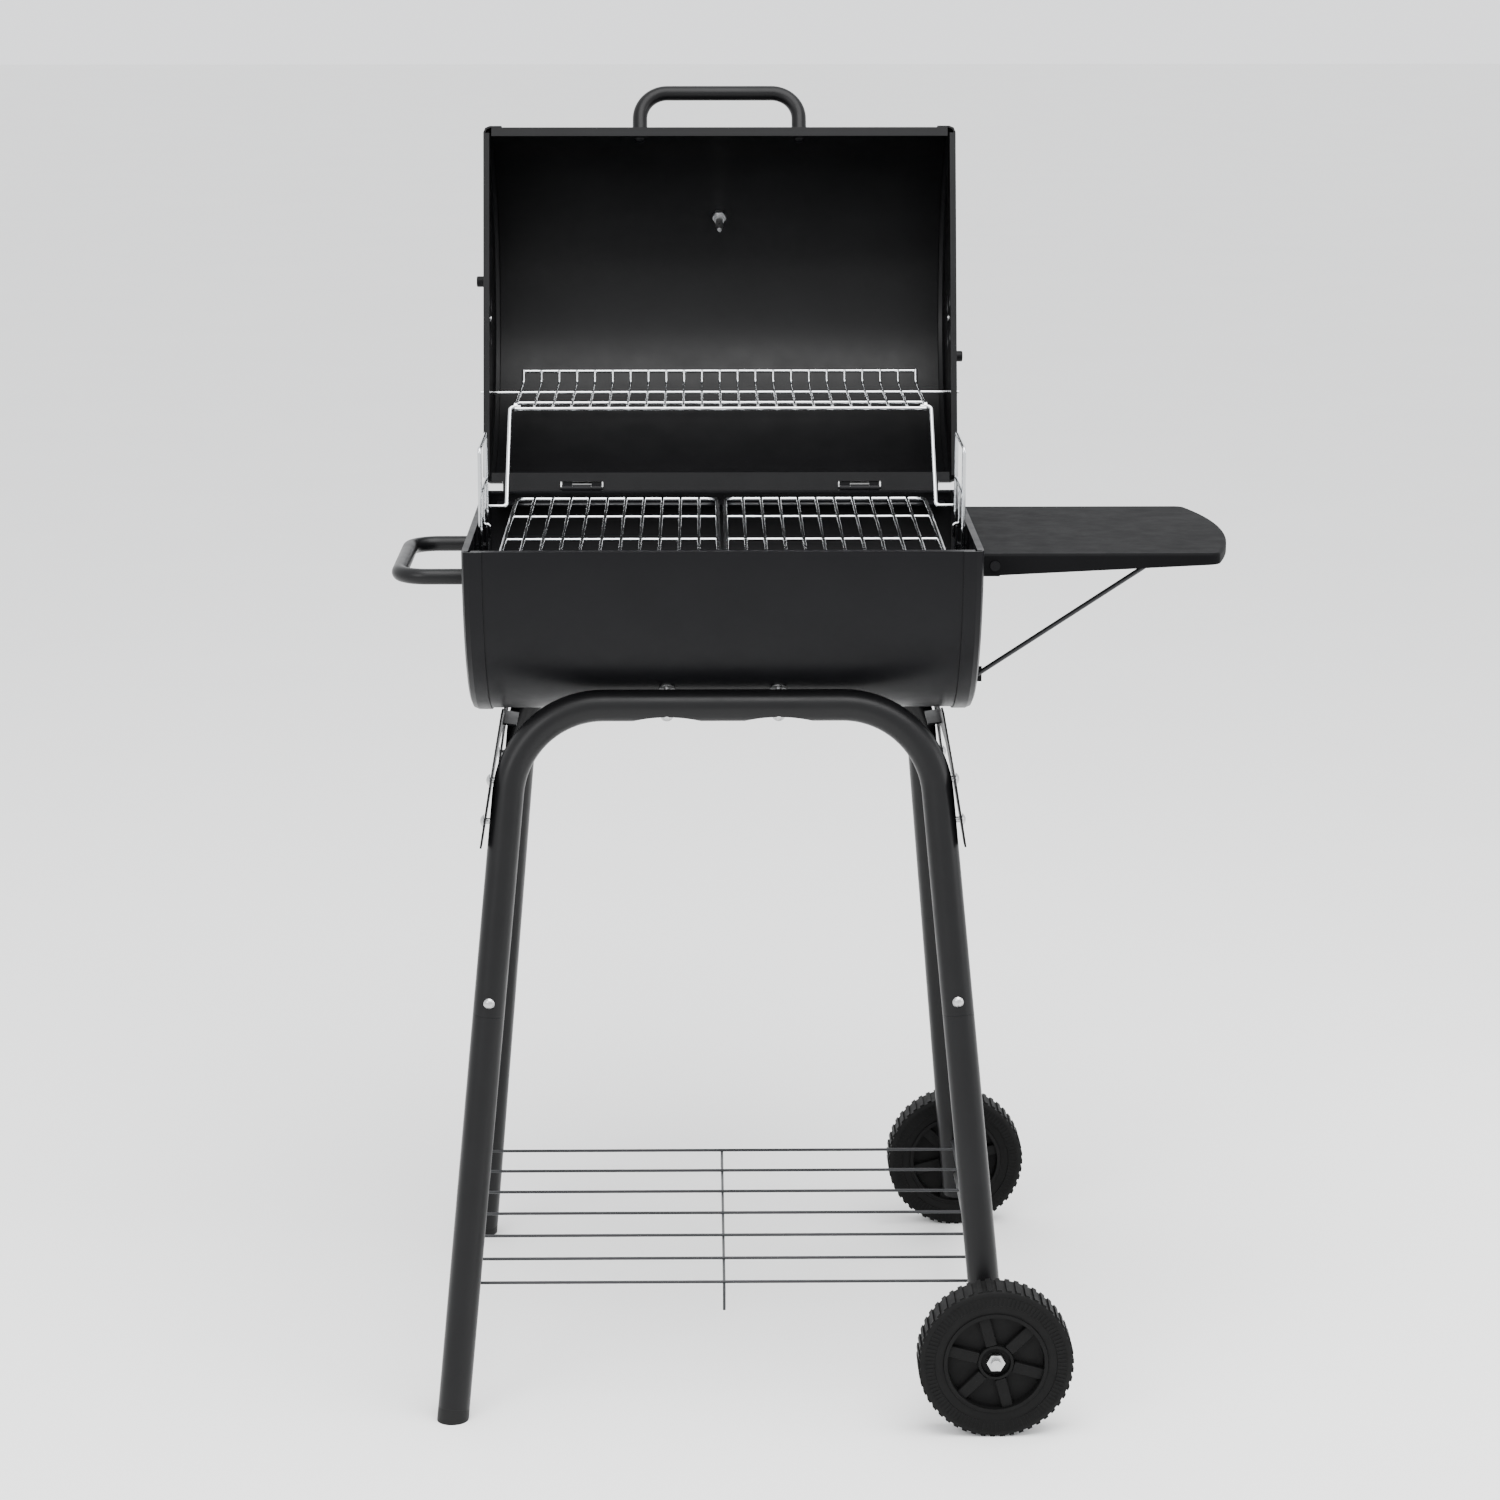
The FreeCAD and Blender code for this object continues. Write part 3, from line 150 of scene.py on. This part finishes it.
# %% [markdown]
# ## Bright chrome and zinc
#
# The racks are steel wire, welded and then chrome plated, so they mirror the room and are only
# dulled by fine handling marks. The bolts are zinc plated, which is greyer and rougher, with a
# slightly cloudy colour from the bath. Both are metals, so they keep the shader's default IOR.

# %% Plated metals
def plated_steel(name, dark, light, smooth, rough, cloud_mm):
    """Plated steel whose colour and roughness drift in soft clouds."""
    material, tree, shader, place = start_material(name, {"Metallic": 1.0})
    clouds = add_node(tree, "ShaderNodeTexNoise", {},
                      {"Vector": (place, "Object"), "Scale": 1 / (cloud_mm * MM),
                       "Detail": 4.0, "Roughness": 0.6})
    tone = add_node(tree, "ShaderNodeMix", {"data_type": "RGBA"},
                    {"Factor": (clouds, 0), 6: linear(dark), 7: linear(light)})
    tree.links.new(tone.outputs[2], shader.inputs["Base Color"])
    smears = add_node(tree, "ShaderNodeTexNoise", {},
                      {"Vector": (place, "Object"), "Scale": 1 / (cloud_mm / 3 * MM),
                       "Detail": 5.0, "Roughness": 0.7})
    haze = add_node(tree, "ShaderNodeMapRange", {},
                    {"Value": (smears, 0), "From Min": NOISE_LOW, "From Max": NOISE_HIGH,
                     "To Min": smooth, "To Max": rough})
    tree.links.new(haze.outputs[0], shader.inputs["Roughness"])
    return material


chrome_plate = plated_steel("bright_chrome_on_welded_wire", "#c4c6c9", "#dddfe0", 0.08, 0.20, 30.0)
zinc_plate = plated_steel("zinc_plate_on_turned_steel", "#9c9da0", "#c2c2c0", 0.24, 0.40, 8.0)
print("plated metals:", chrome_plate.name, zinc_plate.name)

# %% [markdown]
# ## Moulded plastic
#
# The wheels and feet are injection-moulded polypropylene. The mould is spark eroded, which
# leaves a fine grain that scatters light, so the black looks matte beside the paint. The grain
# is really about 0.3 mm. It is drawn at 0.8 mm so that it shows.

# %% Moulded plastic
def moulded_plastic(name, dark, light, roughness):
    """Spark-eroded moulded polypropylene: matte, with a fine grain."""
    material, tree, shader, place = start_material(
        name, {"Metallic": 0.0, "IOR": 1.5, "Specular IOR Level": 0.12})
    patches = add_node(tree, "ShaderNodeTexNoise", {},
                       {"Vector": (place, "Object"), "Scale": 1 / (40.0 * MM),
                        "Detail": 4.0, "Roughness": 0.5})
    tone = add_node(tree, "ShaderNodeMix", {"data_type": "RGBA"},
                    {"Factor": (patches, 0), 6: linear(dark), 7: linear(light)})
    tree.links.new(tone.outputs[2], shader.inputs["Base Color"])
    rubbing = add_node(tree, "ShaderNodeTexNoise", {},
                       {"Vector": (place, "Object"), "Scale": 1 / (12.0 * MM),
                        "Detail": 5.0, "Roughness": 0.5})
    wear = add_node(tree, "ShaderNodeMapRange", {},
                    {"Value": (rubbing, 0), "From Min": NOISE_LOW, "From Max": NOISE_HIGH,
                     "To Min": roughness - 0.05, "To Max": roughness + 0.06})
    tree.links.new(wear.outputs[0], shader.inputs["Roughness"])
    grain = add_node(tree, "ShaderNodeTexNoise", {},
                     {"Vector": (place, "Object"), "Scale": 1 / (0.8 * MM),
                      "Detail": 2.0, "Roughness": 0.5})
    bump = add_node(tree, "ShaderNodeBump", {},
                    {"Height": (grain, 0), "Strength": 0.35, "Distance": 0.08 * MM})
    tree.links.new(bump.outputs[0], shader.inputs["Normal"])
    return material


wheel_plastic = moulded_plastic("moulded_black_polypropylene", "#060606", "#0b0b0b", 0.60)
foot_plastic = moulded_plastic("moulded_black_foot_plastic", "#141414", "#1c1c1c", 0.48)
print("plastics:", wheel_plastic.name, foot_plastic.name)

# %% [markdown]
# ## The dial: enamel, paint and glass
#
# A lid thermometer has a white enamelled plate, a red lacquered pointer and a flat glass. The
# enamel has faint clouding, the lacquer is glossy, and the glass is clear with a little dust.

# %% Dial finishes
def gloss_finish(name, dark, light, low, high, extra=None):
    """A glossy sprayed or fired film with faint clouding."""
    values = {"Metallic": 0.0, "IOR": 1.5}
    values.update(extra or {})
    material, tree, shader, place = start_material(name, values)
    clouding = add_node(tree, "ShaderNodeTexNoise", {},
                        {"Vector": (place, "Object"), "Scale": 1 / (6.0 * MM),
                         "Detail": 4.0, "Roughness": 0.5})
    tone = add_node(tree, "ShaderNodeMix", {"data_type": "RGBA"},
                    {"Factor": (clouding, 0), 6: linear(dark), 7: linear(light)})
    tree.links.new(tone.outputs[2], shader.inputs["Base Color"])
    specks = add_node(tree, "ShaderNodeTexNoise", {},
                      {"Vector": (place, "Object"), "Scale": 1 / (2.0 * MM),
                       "Detail": 5.0, "Roughness": 0.5})
    dust = add_node(tree, "ShaderNodeMapRange", {},
                    {"Value": (specks, 0), "From Min": NOISE_LOW, "From Max": NOISE_HIGH,
                     "To Min": low, "To Max": high})
    tree.links.new(dust.outputs[0], shader.inputs["Roughness"])
    return material


dial_enamel = gloss_finish("white_fired_enamel_dial", "#dcdad2", "#e8e6df", 0.28, 0.40)
needle_lacquer = gloss_finish("red_lacquered_pointer", "#8e1712", "#a51f18", 0.22, 0.34)
dial_ink = gloss_finish("black_printed_dial_ink", "#141414", "#202020", 0.35, 0.45)
dial_glass = gloss_finish("flat_ground_dial_glass", "#f4f7f7", "#ffffff", 0.01, 0.05,
                          {"Transmission Weight": 1.0})
print("dial finishes:", dial_enamel.name, needle_lacquer.name, dial_glass.name)

# %% [markdown]
# ## Finish for every frame piece
#
# The record names a finish for each piece of the frame, so one loop hands them out. A frame
# piece keeps its mesh and its place; only what its material slots hold is changed. A few pieces
# differ from their slot: the table's coat is more matte than the barrel's, the lid's is
# slightly glossier and a shade lighter, as painted light for the front light that the lid
# catches, and the hinge pins and the lid handle's screws are painted over in black.

# %% Dress the frame
finish_of_slot = {
    "black_enamel": sheet_coat,
    "black_tube": tube_coat,
    "black_wire": wire_coat,
    "chrome_wire": chrome_plate,
    "zinc_steel": zinc_plate,
    "wheel_plastic": wheel_plastic,
    "foot_plastic": foot_plastic,
    "dial_face": dial_enamel,
    "dial_glass": dial_glass,
    "needle_paint": needle_lacquer,
}
piece_finish = {
    "side_table": table_coat,
    "lid_shell": lid_coat_painted_lighter,
    "lid_end_left": lid_coat_painted_lighter,
    "lid_end_right": lid_coat_painted_lighter,
    "lid_handle": lid_coat_painted_lighter,
    "hinge_pins": sheet_coat,
    "lid_handle_bolts": sheet_coat,
}


def dress(piece, finish):
    """Give a piece one finish and nothing else."""
    piece.data.materials.clear()
    piece.data.materials.append(finish)


for subpart in frame["record"]["subparts"]:
    node = subpart["node"]
    dress(frame["nodes"][node], piece_finish.get(node, finish_of_slot[subpart["material_slot"]]))

# %% [markdown]
# ## Tools for modelling by hand
#
# Each new piece starts as a primitive and is shaped in edit mode. The operators act on whatever
# is selected, so these helpers clear the selection, and pick faces by where they lie.

# %% Edit-mode helpers
def clear_selection():
    """Deselect everything, so the next operator touches only the new piece."""
    if bpy.context.object and bpy.context.object.mode != "OBJECT":
        bpy.ops.object.mode_set(mode="OBJECT")
    bpy.ops.object.select_all(action="DESELECT")


def pick_faces(wanted):
    """In edit mode, select only the faces for which wanted(face) is true."""
    mesh = bmesh.from_edit_mesh(bpy.context.object.data)
    bpy.context.tool_settings.mesh_select_mode = (False, False, True)
    for face in mesh.faces:
        face.select_set(False)
    for face in mesh.faces:
        if wanted(face):
            face.select_set(True)
    bmesh.update_edit_mesh(bpy.context.object.data)
    return sum(1 for face in mesh.faces if face.select)


def settle(piece):
    """Write the piece's place and turn into its mesh, so its object sits at the origin."""
    clear_selection()
    piece.select_set(True)
    bpy.context.view_layer.objects.active = piece
    bpy.ops.object.transform_apply(location=True, rotation=True, scale=True)
    return piece


def copy_of(piece, place, turn):
    """Copy a piece with its own mesh, turn it about Z and set it at place."""
    copy = piece.copy()
    copy.data = piece.data.copy()
    bpy.context.collection.objects.link(copy)
    copy.rotation_euler = (0, 0, turn)
    copy.location = place
    return settle(copy)

# %% [markdown]
# ## The wheels
#
# Each wheel is one plastic moulding: a toothed tread, a ribbed shoulder, a raised rim ring,
# a sunken web with six broad spokes and a hub ring around a sunken nut. It could be spun from
# a profile, but a cylinder whose end is inset step by step keeps its faces in columns, four to a
# tooth, and the teeth and ribs can then be raised by picking columns. Both ends get the same
# steps, because the wheel is taken to look the same from inside the cart.

# %% Wheel sizes
WHEEL_RADIUS = 77.5
WHEEL_WIDTH = 38.0
TOOTH_COUNT = 50
COLUMNS_PER_TOOTH = 4
COLUMNS = COLUMNS_PER_TOOTH * TOOTH_COUNT
TOOTH_HEIGHT = 1.8
# each step of an end face: how far it goes inwards and how far it rises, in mm
END_STEPS = [
    (1.2, 1.1), (3.0, 0.9), (0.8, 0.0), (9.5, -0.3), (0.5, -0.9), (8.3, -1.5),
    (0.5, 1.2), (3.6, 0.4), (0.9, -9.5), (29.2, 0.0), (0.6, 6.4), (2.6, 0.2), (0.6, -5.6), (8.4, 0.0),
]
END_START = WHEEL_WIDTH / 2 - 2.5
TREAD_REACH = 75.0
RIB_HEIGHT = 0.45
RIB_INNER, RIB_OUTER = 62.0, 70.0
SPOKE_COUNT = 6
SPOKE_TURN = -15
SPOKE_START = 18.0
SPOKE_WIDTH = 11.5
SPOKE_LENGTH = 31.0
SPOKE_THICKNESS = 30.0
SPOKE_EDGE = 1.2
SHARP_ANGLE = math.radians(28)
BORE_COLUMN_RADIUS = WHEEL_RADIUS - TOOTH_HEIGHT - sum(step[0] for step in END_STEPS)
print("bore radius left:", round(BORE_COLUMN_RADIUS, 2), "mm")

# %% Model one wheel on the Z axis
clear_selection()
bpy.ops.mesh.primitive_cylinder_add(
    vertices=COLUMNS, radius=(WHEEL_RADIUS - TOOTH_HEIGHT) * MM, depth=2 * END_START * MM)
wheel = bpy.context.object
bpy.ops.object.mode_set(mode="EDIT")
for end in (1, -1):
    for inwards, rise in END_STEPS:
        pick_faces(lambda face: face.normal.z * end > 0.99 and len(face.verts) == COLUMNS)
        bpy.ops.mesh.inset(thickness=inwards * MM, depth=rise * MM)


def column_of(face):
    """Which of the wheel's columns of faces this face is in."""
    centre = face.calc_center_median()
    return int(math.atan2(centre.y, centre.x) / (2 * math.pi) * COLUMNS + COLUMNS * 2) % COLUMNS


def reach_of(face):
    """How far the face's centre is from the wheel's axis, in mm."""
    return face.calc_center_median().xy.length / MM


teeth = pick_faces(lambda face: abs(face.normal.z) < 0.3 and reach_of(face) > TREAD_REACH
                   and column_of(face) % COLUMNS_PER_TOOTH < COLUMNS_PER_TOOTH / 2)
bpy.ops.mesh.extrude_region_shrink_fatten(
    TRANSFORM_OT_shrink_fatten={"value": TOOTH_HEIGHT * MM, "use_even_offset": True})
ribs = pick_faces(lambda face: abs(face.normal.z) > 0.8 and RIB_INNER < reach_of(face) < RIB_OUTER
                  and column_of(face) % 2 == 0)
bpy.ops.mesh.extrude_region_shrink_fatten(
    TRANSFORM_OT_shrink_fatten={"value": RIB_HEIGHT * MM, "use_even_offset": True})
print("tooth faces:", teeth, "rib faces:", ribs)

# %% [markdown]
# The bore is opened by bridging the two end faces that are left, and then the spokes are added.
# A spoke is a bar with its edges rounded, so it starts as a cube that is stretched to size,
# bevelled, and copied every sixty degrees.

# %% Open the bore and add the spokes
pick_faces(lambda face: abs(face.normal.z) > 0.99 and len(face.verts) == COLUMNS)
bpy.ops.mesh.bridge_edge_loops()
bpy.ops.object.mode_set(mode="OBJECT")

clear_selection()
bpy.ops.mesh.primitive_cube_add(size=1.0)
first_spoke = bpy.context.object
first_spoke.scale = (SPOKE_LENGTH * MM, SPOKE_WIDTH * MM, SPOKE_THICKNESS * MM)
settle(first_spoke)
bpy.ops.object.mode_set(mode="EDIT")
bpy.ops.mesh.select_all(action="SELECT")
bpy.ops.mesh.bevel(offset=SPOKE_EDGE * MM, segments=3, affect="EDGES")
bpy.ops.object.mode_set(mode="OBJECT")
spokes = []
for step in range(SPOKE_COUNT):
    angle = math.radians(360 / SPOKE_COUNT * step + SPOKE_TURN)
    reach = (SPOKE_START + SPOKE_LENGTH / 2) * MM
    spokes.append(copy_of(first_spoke, (reach * math.cos(angle), reach * math.sin(angle), 0), angle))
bpy.data.objects.remove(first_spoke, do_unlink=True)

clear_selection()
for piece in spokes + [wheel]:
    piece.select_set(True)
bpy.context.view_layer.objects.active = wheel
bpy.ops.object.join()
bpy.ops.object.shade_smooth_by_angle(angle=SHARP_ANGLE)
dress(wheel, wheel_plastic)
print("wheel faces:", len(wheel.data.polygons))
print("wheel size:", [round(side / MM, 1) for side in wheel.dimensions])

# %% Put a wheel on each side of the axle
def centre_of(node):
    """The middle of a frame piece's box."""
    low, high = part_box(node)
    return (Vector(low) + Vector(high)) / 2


def place_wheel(node, body, toward):
    """Copy the wheel with its own mesh, turn its axis along Y and set it where the frame has it."""
    copy = wheel.copy()
    copy.data = wheel.data.copy()
    copy.name = node + "_moulding"
    bpy.context.collection.objects.link(copy)
    turn = Matrix.Rotation(toward * math.pi / 2, 4, "X")
    copy.matrix_world = Matrix.Translation(centre_of(node)) @ turn
    settle(copy)
    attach(copy, body)
    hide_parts(node)
    return copy


place_wheel("front_wheel", "wheel_front", 1)
place_wheel("rear_wheel", "wheel_rear", -1)
bpy.data.objects.remove(wheel, do_unlink=True)
print("wheels placed")

# %% [markdown]
# ## The dial's scale
#
# A lid thermometer's scale is printed: a ring of ticks, longer at each hundred degrees, with
# plain numbers inside it. A shader could draw it, but real thin ink shapes stay sharp however
# close the camera comes. A long and a short tick are modelled and copied round the ring, each
# copy with its own mesh, and each number is text turned into a mesh. The ring is laid flat
# first, then set on the dial.

# %% Print the ticks and numbers
DIAL_START = 215.0
DIAL_SWEEP = 250.0
TICK_COUNT = 21
TICKS_PER_NUMBER = 5
DEGREES_PER_TICK = 20
LONG_TICK = (3.6, 0.75)
SHORT_TICK = (2.2, 0.45)
TICK_REACH = 25.0
TICK_EDGE = 0.04
NUMBER_REACH = 17.4
NUMBER_SIZE = 4.6
INK = 0.12 * MM
DIAL_FACE_RISE = 0.5 * MM
# with the lid open the dial faces back and leans 25 degrees upwards
dial_normal = Vector((0, 0.9063, 0.4226))
dial_up = Vector((0, 0.4226, -0.9063))
dial_right = dial_up.cross(dial_normal)
print_shapes = []


def dial_angle(step):
    """The angle of a tick, counted clockwise from the cold end."""
    return math.radians(DIAL_START - DIAL_SWEEP * step / (TICK_COUNT - 1))


def model_tick(length, width):
    """One printed tick, flat on Z, with its long side along X and its edges just broken."""
    clear_selection()
    bpy.ops.mesh.primitive_cube_add(size=1.0)
    tick = bpy.context.object
    tick.scale = (length * MM, width * MM, INK)
    settle(tick)
    bpy.ops.object.mode_set(mode="EDIT")
    bpy.ops.mesh.select_all(action="SELECT")
    bpy.ops.mesh.bevel(offset=TICK_EDGE * MM, segments=1, affect="EDGES")
    bpy.ops.object.mode_set(mode="OBJECT")
    return tick


long_first, short_first = model_tick(*LONG_TICK), model_tick(*SHORT_TICK)
for step in range(TICK_COUNT):
    angle = dial_angle(step)
    long_tick = step % TICKS_PER_NUMBER == 0
    length = (LONG_TICK if long_tick else SHORT_TICK)[0]
    reach = (TICK_REACH - length / 2) * MM
    print_shapes.append(copy_of(long_first if long_tick else short_first,
                                (reach * math.cos(angle), reach * math.sin(angle), 0), angle))
    if long_tick:
        clear_selection()
        bpy.ops.object.text_add()
        label = bpy.context.object
        label.data.body = str(step * DEGREES_PER_TICK)
        label.data.size = NUMBER_SIZE * MM
        label.data.extrude = INK / 2
        label.data.align_x = "CENTER"
        label.data.align_y = "CENTER"
        bpy.ops.object.convert(target="MESH")
        label = bpy.context.object
        reach = NUMBER_REACH * MM
        label.location = (reach * math.cos(angle), reach * math.sin(angle), 0)
        print_shapes.append(settle(label))

bpy.data.objects.remove(long_first, do_unlink=True)
bpy.data.objects.remove(short_first, do_unlink=True)
clear_selection()
for shape in print_shapes:
    shape.select_set(True)
bpy.context.view_layer.objects.active = print_shapes[0]
bpy.ops.object.join()
dial_print = bpy.context.object
dial_print.name = "dial_scale_print"
turn = Matrix((dial_right, dial_up, dial_normal)).transposed().to_4x4()
lift = DIAL_FACE_RISE + INK
dial_print.matrix_world = Matrix.Translation(centre_of("thermometer_dial") + dial_normal * lift) @ turn
settle(dial_print)
dress(dial_print, dial_ink)
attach(dial_print, "lid")
print("dial print faces:", len(dial_print.data.polygons))

# %% [markdown]
# ## Floor, light and camera
#
# The grill stands in a plain pale studio. A wide soft light from above and in front shapes the
# black sheet, a smaller one from the left edges the tubes, and a weak one from the right keeps
# that side readable. Black paint is seen mostly by what it mirrors, so the lights are large.

# %% Floor
clear_selection()
bpy.ops.mesh.primitive_plane_add(size=60.0, location=(0, 0, 0))
floor = bpy.context.object
floor.name = "studio_floor"
bpy.ops.object.mode_set(mode="EDIT")
bpy.ops.mesh.subdivide(number_cuts=12)
bpy.ops.object.mode_set(mode="OBJECT")
floor_paint, floor_tree, floor_shader, floor_place = start_material(
    "matte_pale_studio_floor", {"Metallic": 0.0, "Roughness": 0.85})
floor_clouds = add_node(floor_tree, "ShaderNodeTexNoise", {},
                        {"Vector": (floor_place, "Object"), "Scale": 1 / (400 * MM), "Detail": 3.0})
floor_tone = add_node(floor_tree, "ShaderNodeMix", {"data_type": "RGBA"},
                      {"Factor": (floor_clouds, 0),
                       6: linear("#f1f1f0"), 7: linear("#f5f5f4")})
floor_tree.links.new(floor_tone.outputs[2], floor_shader.inputs["Base Color"])
dress(floor, floor_paint)

# %% Soft lights and a pale room
def soft_light(name, place, size, power, aim=(0, 0, 0.7)):
    """A large square light at place that faces aim."""
    lamp = bpy.data.lights.new(name, "AREA")
    lamp.shape = "SQUARE"
    lamp.size = size
    lamp.energy = power
    holder = bpy.data.objects.new(name, lamp)
    bpy.context.collection.objects.link(holder)
    holder.location = place
    holder.rotation_euler = (Vector(aim) - Vector(place)).to_track_quat("-Z", "Y").to_euler()
    return holder


soft_light("overhead_softbox", (0.4, -1.0, 3.4), 2.8, 190)
soft_light("left_softbox", (-2.4, -3.2, 2.6), 1.6, 60)
soft_light("right_softbox", (3.0, -0.8, 1.5), 1.4, 26)
room = bpy.data.worlds.new("pale_room")
room.use_nodes = True
room.node_tree.nodes["Background"].inputs["Color"].default_value = linear("#f4f5f7")
room.node_tree.nodes["Background"].inputs["Strength"].default_value = 1.9
bpy.context.scene.world = room

# %% Camera
CAMERA_DIP = 12.95
CAMERA_SWING = -0.745
camera_lens = bpy.data.cameras.new("front_camera")
camera_lens.lens = 89.57
camera_lens.sensor_width = 36.0
camera = bpy.data.objects.new("front_camera", camera_lens)
bpy.context.collection.objects.link(camera)
camera.location = (-0.1108, -3.85345, 1.5006)
camera.rotation_euler = (math.radians(90 - CAMERA_DIP), 0, math.radians(CAMERA_SWING))
bpy.context.scene.camera = camera
